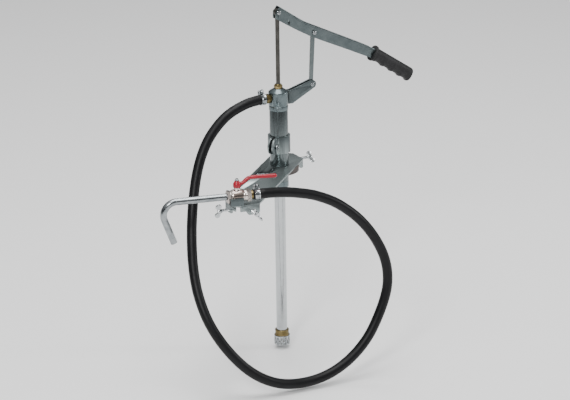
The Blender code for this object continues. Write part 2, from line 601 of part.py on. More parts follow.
def cradle():
    """Sheet saddle that holds the valve above the plate's near end, with its two screws."""
    low = PLATE_THICK + GAP - VALVE[2]
    half, wall = 0.0165, 0.0018
    outline = [(-half, low), (half, low), (half, 0.0000), (half - wall, 0.0000),
               (half - wall, low + wall), (-half + wall, low + wall), (-half + wall, 0.0000),
               (-half, 0.0000)]
    stand = NOZZLE @ ALONG_X @ turn(pi / 2, 'Z')
    body = prism("nozzle_cradle", outline, -0.0160, 0.0100, STEEL, stand)
    for i, x in enumerate((-0.0120, 0.0065)):
        line = NOZZLE @ at(x, 0, low)
        cut(body, rod(f"cradle_hole_{i}", 0.0023, -0.001, 0.004, None, line, 12))
        top = line @ at(0, 0, wall + GAP)
        turned(f"cradle_rivet_{i + 1}", [(0, -wall - GAP), (0.0020, -wall - GAP),
                                         (0.0020, 0), (0.0036, 0), (0.0026, 0.0014),
                                         (0, 0.0014)], BRIGHT, top, 12)


# ---------------------------------------------------------------- hose and its clamps
HOSE_ROUTE = [
    (-0.010, 0.066, 0.139), (-0.050, 0.065, 0.122), (-0.085, 0.060, 0.093),
    (-0.110, 0.052, 0.060), (-0.130, 0.040, 0.020), (-0.148, 0.022, -0.030),
    (-0.164, -0.002, -0.085), (-0.178, -0.035, -0.140), (-0.183, -0.068, -0.190),
    (-0.175, -0.100, -0.240), (-0.150, -0.128, -0.290), (-0.110, -0.144, -0.335),
    (-0.060, -0.151, -0.365), (-0.005, -0.153, -0.376), (0.050, -0.155, -0.370),
    (0.100, -0.155, -0.348), (0.143, -0.154, -0.310), (0.175, -0.150, -0.260),
    (0.193, -0.147, -0.210), (0.191, -0.144, -0.160), (0.170, -0.141, -0.110),
    (0.135, -0.138, -0.063), (0.090, -0.133, -0.025), (0.045, -0.129, -0.002),
    (0.005, -0.127, 0.010), (-0.030, -0.126, 0.017),
]


def hose():
    """Delivery hose from the outlet fitting round to the valve's tail, as a smooth curve."""
    start = [PUMP @ Vector((x, 0, PORT_Z)) for x in (-0.0294, -0.0340, -0.0440)]
    end = [NOZZLE @ Vector((x, 0, 0)) for x in (0.0560, 0.0470, 0.0360, 0.0312)]
    knots = start + [Vector(p) for p in HOSE_ROUTE] + end
    smooth = []
    for i in range(len(knots) - 1):
        before = knots[max(i - 1, 0)]
        after = knots[min(i + 2, len(knots) - 1)]
        out = knots[i] + (knots[i + 1] - before) / 6
        back = knots[i + 1] - (after - knots[i]) / 6
        smooth += interpolate_bezier(knots[i], out, back, knots[i + 1], 3)[:-1]
    smooth.append(knots[-1])
    curve = bpy.data.curves.new("hose", 'CURVE')
    curve.dimensions = '3D'
    curve.bevel_depth = HOSE_R
    curve.bevel_resolution = 2
    curve.use_fill_caps = True
    spline = curve.splines.new('POLY')
    spline.points.add(len(smooth) - 1)
    for point, spot in zip(spline.points, smooth):
        point.co = (*spot, 1)
    obj = bpy.data.objects.new("hose", curve)
    bpy.context.collection.objects.link(obj)
    dress(obj, RUBBER)


def hose_clamp(name, frame, screw_turn):
    """Bolt-type hose clamp round local Z: a band, its screw in two lugs and the nut."""
    bore = HOSE_R + GAP
    band = turned(f"{name}_band", [(bore + 0.0010, 0.0050), (bore + 0.0010, -0.0050),
                                   (bore, -0.0050), (bore, 0.0050)], BRIGHT, frame, 28)
    lug_frame = frame @ turn(screw_turn, 'Z')
    for side, y in (("a", 0.0025), ("b", -0.0040)):
        join(band, block(f"{name}_lug_{side}", (bore + 0.0001, y, -0.0050),
                         (bore + 0.0095, y + 0.0015, 0.0050), None, lug_frame))
    line = lug_frame @ at(bore + 0.0055, 0, 0) @ turn(-pi / 2, 'X')
    cut(band, rod(f"{name}_hole", 0.0024, -0.006, 0.006, None, line, 12))
    hex_screw(f"{name}_screw", 0.0020, -0.0090, 0.0040 + GAP, 0.0070, 0.0030, BRIGHT, line)
    nut(f"{name}_nut", 0.0070, -0.0072, -0.0040 - GAP, 0.0023, BRIGHT, line)


def main():
    clear_scene()
    clamp_plate()
    wing_screws()
    socket_and_collar()
    barrel_and_head()
    suction_line()
    piston_group()
    linkage()
    ball_valve()
    spout()
    cradle()
    hose()
    hose_clamp("outlet_clamp", PUMP @ at(-0.0360, 0, PORT_Z) @ ALONG_X, radians(150))
    hose_clamp("valve_clamp", NOZZLE @ at(0.0390, 0, 0) @ ALONG_X, radians(160))


main()
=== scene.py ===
"""Looks of the fluid transfer pump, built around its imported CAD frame. Metres, +Z up."""
import json
from math import asin, cos, degrees, hypot, pi, radians, sin

import bmesh
import bpy
from mathutils import Matrix, Vector
from mathutils.geometry import interpolate_bezier


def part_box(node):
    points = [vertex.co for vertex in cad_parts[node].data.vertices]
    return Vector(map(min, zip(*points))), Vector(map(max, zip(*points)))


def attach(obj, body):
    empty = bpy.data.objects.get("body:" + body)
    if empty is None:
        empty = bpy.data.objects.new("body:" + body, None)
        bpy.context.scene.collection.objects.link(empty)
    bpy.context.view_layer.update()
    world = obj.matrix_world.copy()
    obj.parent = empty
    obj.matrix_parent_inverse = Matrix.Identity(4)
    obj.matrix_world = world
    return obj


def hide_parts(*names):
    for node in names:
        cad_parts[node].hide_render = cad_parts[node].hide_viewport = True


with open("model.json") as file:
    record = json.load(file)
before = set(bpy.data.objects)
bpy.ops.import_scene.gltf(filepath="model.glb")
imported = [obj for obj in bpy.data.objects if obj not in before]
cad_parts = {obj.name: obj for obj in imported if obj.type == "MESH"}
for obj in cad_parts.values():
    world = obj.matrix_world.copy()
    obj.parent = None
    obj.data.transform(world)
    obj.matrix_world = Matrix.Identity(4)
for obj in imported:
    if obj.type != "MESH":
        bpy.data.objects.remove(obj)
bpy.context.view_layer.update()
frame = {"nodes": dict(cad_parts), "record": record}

# ---------------------------------------------------------------- places, from the frame


def middle(node):
    low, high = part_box(node)
    return (Vector(low) + Vector(high)) / 2


def at(x, y, z):
    return Matrix.Translation((x, y, z))


def turn(angle, axis):
    return Matrix.Rotation(radians(angle), 4, axis)


BARREL = middle("pump_barrel")
BALL = middle("valve_ball")
WORLD = Matrix.Identity(4)
PUMP = at(BARREL.x, BARREL.y, 0)
DIAGONAL = turn(45, 'Z')
NOZZLE = at(*BALL) @ turn(-13, 'Z')
ALONG_X = turn(90, 'Y')
ROD_PIN = middle("rod_pin")
LINK_PIN = middle("link_pin")
FULCRUM = middle("fulcrum_pin")
LEVER = at(*ROD_PIN) @ turn(90, 'X')
LINK_PLACE = (LINK_PIN.x - ROD_PIN.x, LINK_PIN.z - ROD_PIN.z)
PORT = PUMP @ at(0, 0, 0.1440) @ turn(-90, 'Y')
HOSE_R = 0.0100
FLOOR_Z = -0.3926               # where the canister that it is clamped on stands

# ---------------------------------------------------------------- materials


def node_of(tree, kind, **values):
    node = tree.nodes.new(kind)
    for key, value in values.items():
        if key in node.inputs:
            node.inputs[key].default_value = value
        else:
            setattr(node, key, value)
    return node


def noise(tree, scale, detail, stretch=(1, 1, 1)):
    """Noise on object coordinates; stretch multiplies each axis' frequency."""
    where = tree.nodes.new('ShaderNodeTexCoord')
    mapping = node_of(tree, 'ShaderNodeMapping')
    mapping.inputs['Scale'].default_value = stretch
    tree.links.new(where.outputs['Object'], mapping.inputs['Vector'])
    field = node_of(tree, 'ShaderNodeTexNoise', Scale=scale, Detail=detail, Roughness=0.6)
    tree.links.new(mapping.outputs['Vector'], field.inputs['Vector'])
    return field.outputs['Fac']


def ramp(tree, source, stops):
    node = tree.nodes.new('ShaderNodeValToRGB')
    elements = node.color_ramp.elements
    while len(elements) < len(stops):
        elements.new(0.5)
    for element, (place, colour) in zip(elements, stops):
        element.position = place
        element.color = (*colour, 1)
    tree.links.new(source, node.inputs['Fac'])
    return node.outputs['Color']


def spread(tree, source, low, high):
    node = tree.nodes.new('ShaderNodeMapRange')
    node.inputs['From Min'].default_value = 0.3
    node.inputs['From Max'].default_value = 0.7
    node.inputs['To Min'].default_value = low
    node.inputs['To Max'].default_value = high
    tree.links.new(source, node.inputs['Value'])
    return node.outputs['Result']


def mixed(tree, factor, first, second):
    node = tree.nodes.new('ShaderNodeMix')
    node.data_type = 'RGBA'
    tree.links.new(factor, node.inputs['Factor'])
    tree.links.new(first, node.inputs['A'])
    node.inputs['B'].default_value = (*second, 1)
    return node.outputs['Result']


def bumped(tree, fields):
    """Chain bump nodes over (field, strength, distance) entries."""
    normal = None
    for field, strength, distance in fields:
        node = node_of(tree, 'ShaderNodeBump', Strength=strength, Distance=distance)
        tree.links.new(field, node.inputs['Height'])
        if normal is not None:
            tree.links.new(normal, node.inputs['Normal'])
        normal = node.outputs['Normal']
    return normal


def surface(name, dark, light, metallic, rough, patch, fine, bump, stretch=(1, 1, 1),
            edge=None, coat=0.0, specular=0.5):
    """A mottled surface: two tones in patches, fine grain in roughness and bump, painted highlights on
    sharp edges.
    """
    material = bpy.data.materials.new(name)
    material.use_nodes = True
    tree = material.node_tree
    shader = tree.nodes["Principled BSDF"]
    shader.inputs['Metallic'].default_value = metallic
    shader.inputs['Coat Weight'].default_value = coat
    shader.inputs['Coat Roughness'].default_value = 0.15
    shader.inputs['Specular IOR Level'].default_value = specular
    patches = noise(tree, patch, 4)
    grain = noise(tree, fine, 6, stretch)
    colour = ramp(tree, patches, [(0.32, dark), (0.68, light)])
    if edge is not None:
        # Painted highlight: sharp convex edges (high pointiness) take the lighter edge colour.
        geometry = tree.nodes.new('ShaderNodeNewGeometry')
        painted_edge_highlight = ramp(tree, geometry.outputs['Pointiness'], [(0.55, (0, 0, 0)), (0.66, (1, 1, 1))])
        colour = mixed(tree, painted_edge_highlight, colour, edge)
    tree.links.new(colour, shader.inputs['Base Color'])
    tree.links.new(spread(tree, grain, *rough), shader.inputs['Roughness'])
    tree.links.new(bumped(tree, [(grain, 0.35, bump), (patches, 0.04, bump * 3)]),
                   shader.inputs['Normal'])
    return material


def make_materials():
    tall = (1, 1, 0.06)
    # Each edge colour is a painted highlight laid on sharp edges.
    return {
        "zinc_steel": surface("zinc_steel", (0.078, 0.096, 0.100), (0.113, 0.134, 0.137), 0.88,
                              (0.24, 0.40), 55, 900, 0.00006, edge=(0.28, 0.32, 0.32)),
        "grey_steel": surface("grey_steel", (0.055, 0.053, 0.049), (0.090, 0.086, 0.079), 0.90,
                              (0.28, 0.44), 60, 1400, 0.00004, tall),
        "drawn_steel": surface("drawn_steel", (0.110, 0.130, 0.132), (0.150, 0.172, 0.175), 0.88,
                               (0.18, 0.30), 60, 700, 0.00003, (1, 1, 0.02)),
        "casting": surface("casting", (0.110, 0.138, 0.145), (0.140, 0.170, 0.178), 0.90,
                           (0.22, 0.32), 70, 1100, 0.00004, edge=(0.30, 0.35, 0.36)),
        "bright_steel": surface("bright_steel", (0.22, 0.24, 0.25), (0.36, 0.38, 0.39), 1.0,
                                (0.12, 0.26), 90, 1200, 0.00003, edge=(0.60, 0.62, 0.63)),
        "brass": surface("brass", (0.13, 0.098, 0.042), (0.24, 0.185, 0.085), 1.0,
                         (0.20, 0.36), 120, 1300, 0.00003, edge=(0.42, 0.32, 0.15)),
        "nickel": surface("nickel", (0.24, 0.185, 0.16), (0.42, 0.35, 0.31), 1.0,
                          (0.14, 0.32), 140, 800, 0.00008, edge=(0.65, 0.58, 0.54)),
        "hose_rubber": surface("hose_rubber", (0.0025, 0.0025, 0.003), (0.005, 0.005, 0.006), 0.0,
                               (0.36, 0.50), 30, 700, 0.00008, specular=0.22),
        "seal_rubber": surface("seal_rubber", (0.02, 0.02, 0.022), (0.035, 0.035, 0.037), 0.0,
                               (0.5, 0.7), 60, 900, 0.0001),
        "seat_plastic": surface("seat_plastic", (0.72, 0.72, 0.68), (0.86, 0.86, 0.83), 0.0,
                                (0.4, 0.55), 60, 900, 0.00005),
        "grip_plastic": surface("grip_plastic", (0.008, 0.008, 0.0085), (0.016, 0.016, 0.017), 0.0,
                                (0.50, 0.66), 50, 1500, 0.00018, specular=0.3),
        "red_sleeve": surface("red_sleeve", (0.26, 0.004, 0.014), (0.38, 0.008, 0.024), 0.0,
                              (0.26, 0.40), 60, 500, 0.00008, coat=0.15, specular=0.4),
        "bung_rubber": surface("bung_rubber", (0.045, 0.036, 0.033), (0.075, 0.062, 0.057), 0.0,
                               (0.55, 0.75), 70, 900, 0.00012),
    }


MATERIALS = make_materials()
SLOT_OF = {row["node"]: row["material_slot"] for row in frame["record"]["subparts"]}
BODY_OF = {node: body for body, nodes in frame["record"]["behaviour"]["bodies"].items()
           for node in nodes}


def dress_nodes():
    """Give every CAD node its material."""
    for name, obj in frame["nodes"].items():
        obj.data.materials.clear()
        obj.data.materials.append(MATERIALS[SLOT_OF[name]])


# ---------------------------------------------------------------- building blocks


def place(name, bm, where, smooth=35):
    bmesh.ops.recalc_face_normals(bm, faces=bm.faces)
    bm.transform(where)
    mesh = bpy.data.meshes.new(name)
    bm.to_mesh(mesh)
    bm.free()
    mesh.shade_smooth()
    mesh.set_sharp_from_angle(angle=radians(smooth))
    obj = bpy.data.objects.new(name, mesh)
    bpy.context.collection.objects.link(obj)
    return obj


def circle(radius, sides, z=0.0, start=0.0):
    return [Vector((radius * cos(start + 2 * pi * i / sides),
                    radius * sin(start + 2 * pi * i / sides), z)) for i in range(sides)]


def skin(bm, rings, closed=False):
    """Join rings of equal count with quads; an open stack gets flat end caps."""
    rows = [[bm.verts.new(p) for p in ring] for ring in rings]
    count = len(rows[0])
    for low, high in zip(rows, rows[1:] + rows[:1] if closed else rows[1:]):
        for i in range(count):
            j = (i + 1) % count
            bm.faces.new((low[i], low[j], high[j], high[i]))
    if not closed:
        bm.faces.new(list(reversed(rows[0])))
        bm.faces.new(rows[-1])


def turned(name, profile, where=WORLD, sides=64):
    """Turn (radius, height) points about Z. A first radius of 0 makes a solid, else a ring."""
    bm = bmesh.new()
    ring = profile[0][0] > 0
    skin(bm, [circle(r, sides, z) for r, z in profile if ring or r > 0], closed=ring)
    return place(name, bm, where)


def rod(name, radius, low, high, where=WORLD, sides=32):
    return turned(name, [(0, low), (radius, low), (radius, high), (0, high)], where, sides)


def prism(name, outline, low, high, where=WORLD, smooth=35):
    bm = bmesh.new()
    skin(bm, [[Vector((x, y, z)) for x, y in outline] for z in (low, high)])
    return place(name, bm, where, smooth)


def block(name, low, high, where=WORLD):
    outline = [(low[0], low[1]), (high[0], low[1]), (high[0], high[1]), (low[0], high[1])]
    return prism(name, outline, low[2], high[2], where)


def settle(obj):
    """Replace an object's mesh by what its modifiers make of it."""
    graph = bpy.context.evaluated_depsgraph_get()
    mesh = bpy.data.meshes.new_from_object(obj.evaluated_get(graph))
    obj.modifiers.clear()
    obj.data = mesh
    return obj


def combine(target, tools, operation):
    for tool in tools:
        modifier = target.modifiers.new(tool.name, 'BOOLEAN')
        modifier.operation = operation
        modifier.object = tool
        modifier.solver = 'EXACT'
        settle(target)
        bpy.data.objects.remove(tool)
    return target


def cut(target, *tools):
    return combine(target, tools, 'DIFFERENCE')


def join(target, *tools):
    return combine(target, tools, 'UNION')


def softened(obj, width=0.0004, segments=2, angle=32):
    """Round every edge sharper than angle, and shade the rest smooth."""
    bevel = obj.modifiers.new("bevel", 'BEVEL')
    bevel.width = width
    bevel.segments = segments
    bevel.limit_method = 'ANGLE'
    bevel.angle_limit = radians(angle)
    settle(obj)
    obj.data.shade_smooth()
    obj.data.set_sharp_from_angle(angle=radians(40))
    return obj


def finish(obj, node):
    """The piece stands for a CAD node: it takes the node's body and the material of the node's slot,
    and hides the node.
    """
    return add(obj, BODY_OF[node], SLOT_OF[node], node)


def add(obj, body, slot, *nodes):
    obj.data.materials.clear()
    obj.data.materials.append(MATERIALS[slot])
    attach(obj, body)
    if nodes:
        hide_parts(*nodes)
    return obj


def hexagon(across_flats):
    return [(p.x, p.y) for p in circle(across_flats / (2 * cos(pi / 6)), 6, start=pi / 6)]


def hex_block(name, across_flats, low, high, where, chamfer=0.0008):
    """A hexagon with both ends turned down to chamfered corners."""
    body = prism(name, hexagon(across_flats), low, high, where)
    flat, corner = across_flats / 2, across_flats / 2 / cos(pi / 6) + 0.0002
    shell = turned(f"{name}_turned", [(0, low), (flat, low), (corner, low + chamfer),
                                      (corner, high - chamfer), (flat, high), (0, high)], where)
    return combine(body, [shell], 'INTERSECT')


def thread(radius, low, high, pitch=0.0010, depth=0.00035):
    """(radius, height) points of a threaded length, from low to high."""
    count = round(abs(high - low) / pitch)
    points = []
    for i in range(count):
        z = low + (high - low) * i / count
        step = (high - low) / count
        points += [(radius - depth, z), (radius, z + 0.4 * step), (radius, z + 0.6 * step)]
    return points + [(radius - depth, high)]


def arc(centre, radius, first, last, steps):
    return [(centre[0] + radius * cos(radians(first + (last - first) * i / steps)),
             centre[1] + radius * sin(radians(first + (last - first) * i / steps)))
            for i in range(steps + 1)]


def pipe_rings(path, radii, sides, across, flat=1.0):
    """Rings square to a path in the plane whose normal is across; flat thins them along it."""
    rings = []
    for i, (point, radius) in enumerate(zip(path, radii)):
        tangent = (path[min(i + 1, len(path) - 1)] - path[max(i - 1, 0)]).normalized()
        side = across.cross(tangent).normalized()
        rings.append([point + radius * (cos(2 * pi * k / sides) * side * flat
                                        + sin(2 * pi * k / sides) * across)
                      for k in range(sides)])
    return rings


# ---------------------------------------------------------------- camera and stage
def camera():
    """Long lens from the front left, above; the picture's up direction leans a little."""
    azimuth, elevation, roll = -27.47, 18.90, 0.85
    distance, focal = 4.8393, 154.48
    target = Vector((0.0343, -0.0179, -0.0420))
    stance = turn(azimuth, 'Z') @ turn(90 - elevation, 'X')
    data = bpy.data.cameras.new("camera")
    data.lens = focal
    obj = bpy.data.objects.new("camera", data)
    bpy.context.collection.objects.link(obj)
    obj.matrix_world = at(*target) @ stance @ at(0, 0, distance) @ turn(-roll, 'Z')
    bpy.context.scene.camera = obj


def lamp(name, where, towards, size, energy):
    data = bpy.data.lights.new(name, 'AREA')
    data.energy = energy
    data.size = size
    obj = bpy.data.objects.new(name, data)
    aim = (Vector(towards) - Vector(where)).to_track_quat('-Z', 'Y')
    obj.matrix_world = Matrix.Translation(where) @ aim.to_matrix().to_4x4()
    bpy.context.collection.objects.link(obj)


def studio():
    """Pale floor, a sky with dark side bands and a bright top, and soft lamps."""
    bm = bmesh.new()
    skin(bm, [[Vector((x, y, z)) for x, y in ((-40, -40), (40, -40), (40, 40), (-40, 40))]
              for z in (FLOOR_Z - 0.01, FLOOR_Z)])
    floor = place("floor", bm, WORLD)
    material = bpy.data.materials.new("floor")
    material.use_nodes = True
    shader = material.node_tree.nodes["Principled BSDF"]
    shader.inputs['Base Color'].default_value = (0.90, 0.90, 0.90, 1)
    shader.inputs['Roughness'].default_value = 0.95
    shader.inputs['Specular IOR Level'].default_value = 0.1
    floor.data.materials.append(material)
    world = bpy.data.worlds.new("studio")
    bpy.context.scene.world = world
    world.use_nodes = True
    tree = world.node_tree
    where = tree.nodes.new('ShaderNodeTexCoord')
    split = tree.nodes.new('ShaderNodeSeparateXYZ')
    tree.links.new(where.outputs['Generated'], split.inputs['Vector'])
    sky = ramp(tree, split.outputs['Z'], [(0.0, (0.10, 0.10, 0.105)), (0.18, (0.13, 0.14, 0.145)),
                                          (0.42, (0.42, 0.43, 0.44)), (0.75, (0.95, 0.95, 0.95))])
    tree.links.new(sky, tree.nodes["Background"].inputs['Color'])
    tree.nodes["Background"].inputs['Strength'].default_value = 0.75
    aim = (0.05, 0.0, 0.0)
    lamp("key", (-2.4, -2.6, 2.3), aim, 0.8, 85)
    lamp("side", (2.9, -1.4, 1.0), aim, 0.5, 30)
    lamp("back", (0.9, 2.2, 3.6), aim, 1.2, 30)
    lamp("top", (-0.2, -0.4, 3.2), aim, 2.2, 110)


# ---------------------------------------------------------------- hose and its clamps
HOSE_ROUTE = [
    (-0.010, 0.066, 0.139), (-0.050, 0.065, 0.122), (-0.085, 0.060, 0.093),
    (-0.110, 0.052, 0.060), (-0.130, 0.040, 0.020), (-0.148, 0.022, -0.030),
    (-0.164, -0.002, -0.085), (-0.178, -0.035, -0.140), (-0.183, -0.068, -0.190),
    (-0.175, -0.100, -0.240), (-0.150, -0.128, -0.290), (-0.110, -0.144, -0.335),
    (-0.060, -0.151, -0.365), (-0.005, -0.153, -0.376), (0.050, -0.155, -0.370),
    (0.100, -0.155, -0.348), (0.143, -0.154, -0.310), (0.175, -0.150, -0.260),
    (0.193, -0.147, -0.210), (0.191, -0.144, -0.160), (0.170, -0.141, -0.110),
    (0.135, -0.138, -0.063), (0.090, -0.133, -0.025), (0.045, -0.129, -0.002),
    (0.005, -0.127, 0.010), (-0.030, -0.126, 0.017),
]


def hose():
    start = [PUMP @ Vector((x, 0, 0.1440)) for x in (-0.0294, -0.0340, -0.0440)]
    end = [NOZZLE @ Vector((x, 0, 0)) for x in (0.0560, 0.0470, 0.0360, 0.0312)]
    knots = start + [Vector(p) for p in HOSE_ROUTE] + end
    line = []
    for i in range(len(knots) - 1):
        before = knots[max(i - 1, 0)]
        after = knots[min(i + 2, len(knots) - 1)]
        out = knots[i] + (knots[i + 1] - before) / 6
        back = knots[i + 1] - (after - knots[i]) / 6
        line += interpolate_bezier(knots[i], out, back, knots[i + 1], 9)[:-1]
    line.append(knots[-1])
    curve = bpy.data.curves.new("delivery_hose", 'CURVE')
    curve.dimensions = '3D'
    curve.bevel_depth = HOSE_R
    curve.bevel_resolution = 8
    curve.use_fill_caps = True
    spline = curve.splines.new('POLY')
    spline.points.add(len(line) - 1)
    for point, spot in zip(spline.points, line):
        point.co = (*spot, 1)
    obj = bpy.data.objects.new("delivery_hose", curve)
    bpy.context.collection.objects.link(obj)
    add(obj, "frame", "hose_rubber", "hose")
    clamps = hose_clamp("outlet_clamp", PUMP @ at(-0.0360, 0, 0.1440) @ ALONG_X, 150)
    clamps += hose_clamp("valve_clamp", NOZZLE @ at(0.0390, 0, 0) @ ALONG_X, 160)


def hose_clamp(name, where, screw_turn):
    """Band with rolled rims and two lugs, a hexagon screw and its nut."""
    bore, half = HOSE_R + 0.0003, 0.0050
    band = turned(f"{name}_strap", [(bore + 0.0010, half), (bore + 0.0014, half - 0.0004),
                                    (bore + 0.0009, half - 0.0012), (bore + 0.0009, 0.0012 - half),
                                    (bore + 0.0014, 0.0004 - half), (bore + 0.0010, -half),
                                    (bore, -half), (bore, half)], where, 72)
    lug_frame = where @ turn(screw_turn, 'Z')
    for side, y in (("a", 0.0025), ("b", -0.0040)):
        lug = prism(f"{name}_lug_{side}", [(bore + 0.0001, -half)]
                    + arc((bore + 0.0050, 0), half - 0.0003, -90, 90, 12)
                    + [(bore + 0.0001, half)], -y - 0.0015, -y, lug_frame @ turn(90, 'X'))
        join(band, lug)
    line = lug_frame @ at(bore + 0.0055, 0, 0) @ turn(-90, 'X')
    softened(band, 0.0002)
    out = [finish(band, f"{name}_band")]
    shaft = turned(f"{name}_bolt", [(0, -0.0090), (0.0014, -0.0090)]
                   + thread(0.0020, -0.0088, 0.0040, 0.0007, 0.00025)
                   + [(0.0020, 0.0055), (0, 0.0055)], line, 24)
    head = cut(hex_block(f"{name}_bolt_head", 0.0070, 0.0043, 0.0073, line, 0.0005),
               block(f"{name}_slot", (-0.005, -0.0005, 0.0063), (0.005, 0.0005, 0.009), line))
    join(shaft, head)
    out.append(finish(shaft, f"{name}_screw"))
    nut = cut(hex_block(f"{name}_hex", 0.0070, -0.0072, -0.0043, line, 0.0005),
              rod(f"{name}_tap", 0.0021, -0.01, 0, line))
    out.append(finish(nut, f"{name}_nut"))
    return out


# ---------------------------------------------------------------- lever, grip and link
LEVER_TOP = [(-0.0100, 0.0202), (0.0580, -0.0262), (0.1000, -0.0462), (0.1900, -0.0893),
             (0.2120, -0.1005), (0.2300, -0.1120)]
LEVER_LOW = [(-0.0100, -0.0095), (0.0023, -0.0172), (0.0456, -0.0441), (0.0836, -0.0641),
             (0.1600, -0.0990), (0.1960, -0.1160), (0.2300, -0.1315)]


def height_on(line, along):
    for (x0, y0), (x1, y1) in zip(line, line[1:]):
        if along <= x1:
            return y0 + (y1 - y0) * (along - x0) / (x1 - x0)
    return line[-1][1]


def eased(line, along, soft=0.010):
    """Height on a bent line, with its corners rounded over a length of 2 x soft."""
    spots = [min(max(along + soft * s / 2, line[0][0]), line[-1][0]) for s in range(-2, 3)]
    return sum(height_on(line, x) for x in spots) / len(spots)


def channel_section(along, half, wall):
    """U-section square to X at a distance along: a rolled bead on top of each flat side."""
    top, low = eased(LEVER_TOP, along), eased(LEVER_LOW, along)
    bead = 0.0014
    right = [(half - bead, low), (half - bead, top - 0.0056), (half - 0.0004, top - 0.0046),
             (half, top - 0.0038), (half, top - 0.0014), (half - 0.0005, top - 0.0004),
             (half - 0.0016, top)]
    outer = right + [(-x, y) for x, y in reversed(right)]
    inside = half - bead - wall
    inner = [(-inside, low), (-inside, top - wall - 0.0020), (-inside + 0.0015, top - wall),
             (inside - 0.0015, top - wall), (inside, top - wall - 0.0020), (inside, low)]
    return [Vector((along, y, z)) for z, y in outer + inner]


def lever_channel():
    """Pressed U-section, cut to the eye's outline in front and square to the grip behind."""
    half, wall = 0.0079, 0.0013
    bm = bmesh.new()
    stations = [-0.0095 + 0.2355 * i / 94 for i in range(95)]
    skin(bm, [channel_section(x, half, wall) for x in stations])
    channel = place("lever_body", bm, LEVER)
    side = [(0.0030, 0.0113), (0.0030, 0.0425), (0.3177, 0.0425), (0.1577, -0.1994),
            (0.0023, -0.1994), (0.0023, -0.0172), (-0.0065, -0.0120), (-0.0060, 0.0020)]
    combine(channel, [prism("lever_end", side, -0.02, 0.02, LEVER)], 'INTERSECT')
    for spot, radius in (((0, 0), 0.0033), (LINK_PLACE, 0.0036), ((0.0227, -0.0235), 0.0026)):
        cut(channel, rod("lever_hole", radius, -0.012, 0.012, LEVER @ at(*spot, 0), 40))
    softened(channel, 0.0003)
    finish(channel, "lever_channel")


def grip_ring(along, low, high, half, sides=48):
    mid, tall = (low + high) / 2, (high - low) / 2
    ring = []
    for i in range(sides):
        a = 2 * pi * i / sides
        c, s = cos(a), sin(a)
        ring.append(Vector((along, mid + tall * abs(s) ** 0.85 * (1 if s > 0 else -1),
                            half * abs(c) ** 0.85 * (1 if c > 0 else -1))))
    return ring


def lever_grip():
    """Moulded grip: a rounded flange, four finger grooves below and a blunt, rounded end."""
    start, slope, length, groove = (0.2152, -0.1133), -33.5, 0.1042, 0.0237
    flange, body, rounding = 0.0040, 0.0050, 0.0045
    rings = [grip_ring(0.0, -0.0152, 0.0152, 0.0138), grip_ring(0.0007, -0.0163, 0.0163, 0.0148),
             grip_ring(0.0014, -0.0165, 0.0165, 0.0150),
             grip_ring(flange - 0.0014, -0.0165, 0.0165, 0.0150),
             grip_ring(flange - 0.0007, -0.0163, 0.0163, 0.0148),
             grip_ring(flange, -0.0152, 0.0152, 0.0138)]
    steps = 80
    for i in range(steps + 1):
        along = body + (length - rounding - body) * i / steps
        ripple = 0.0024 * abs(sin(pi * (along - 0.0088) / groove)) ** 0.9
        taper = 0.0125 * along
        rings.append(grip_ring(along, ripple - 0.0144 - taper, 0.0135 - 0.3 * taper,
                               0.0126 - 0.3 * ripple))
    last = length - rounding
    for i in range(1, 11):
        bend = radians(90 * i / 10)
        pull = 0.0040 * (1 - cos(bend))
        rings.append(grip_ring(last + rounding * sin(bend), -0.0157 + 0.45 * pull,
                               0.0131 - pull, 0.0126 - 0.6 * pull))
    bm = bmesh.new()
    skin(bm, rings)
    grip = place("hand_grip", bm, LEVER @ at(*start, 0) @ turn(slope, 'Z'), 60)
    grip.data.shade_smooth()
    grip.data.set_sharp_from_angle(angle=radians(50))
    finish(grip, "lever_grip")


def rivet(name, node, shaft, half, head, where):
    """Pin with two domed heads, each with a small centre dimple."""
    inner = half + 0.0003
    side = [(shaft, inner), (head, inner), (head, inner + 0.0005), (head * 0.8, inner + 0.0012),
            (head * 0.5, inner + 0.0016), (head * 0.34, inner + 0.0016),
            (head * 0.28, inner + 0.0009)]
    profile = [(0, -inner - 0.0009)] + [(r, -z) for r, z in reversed(side)] + side
    finish(turned(name, profile + [(0, inner + 0.0009)], where, 40), node)


